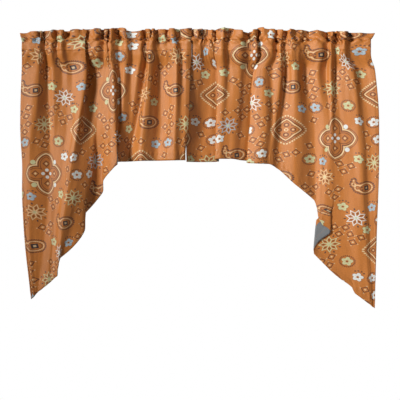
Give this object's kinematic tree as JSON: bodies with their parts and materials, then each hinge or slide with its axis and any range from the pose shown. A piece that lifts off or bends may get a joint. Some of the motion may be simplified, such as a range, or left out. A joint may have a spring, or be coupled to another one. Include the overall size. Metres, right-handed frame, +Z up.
{
  "type": "window swag",
  "caption": "Pair of gathered cloth swags with ruffled rod-pocket headings, a level inner hem and long slanted tails at the outer sides.",
  "frame": {"origin": "on the axis of the rod that the pockets take, at mid width", "axes": "+Z up, +X to the right as seen from the front, -Y towards the room (the printed side)"},
  "size_m": [1.1928, 0.07, 0.9348],
  "materials": {
    "printed_cloth": "matte rust-orange cotton weave with a cream and brown bandana print",
    "heading_cloth": "the same printed cloth, gathered"
  },
  "bodies": {
    "root": {"left_heading": "heading_cloth", "left_swag": "printed_cloth", "right_heading": "heading_cloth", "right_swag": "printed_cloth"}
  },
  "joints": []
}
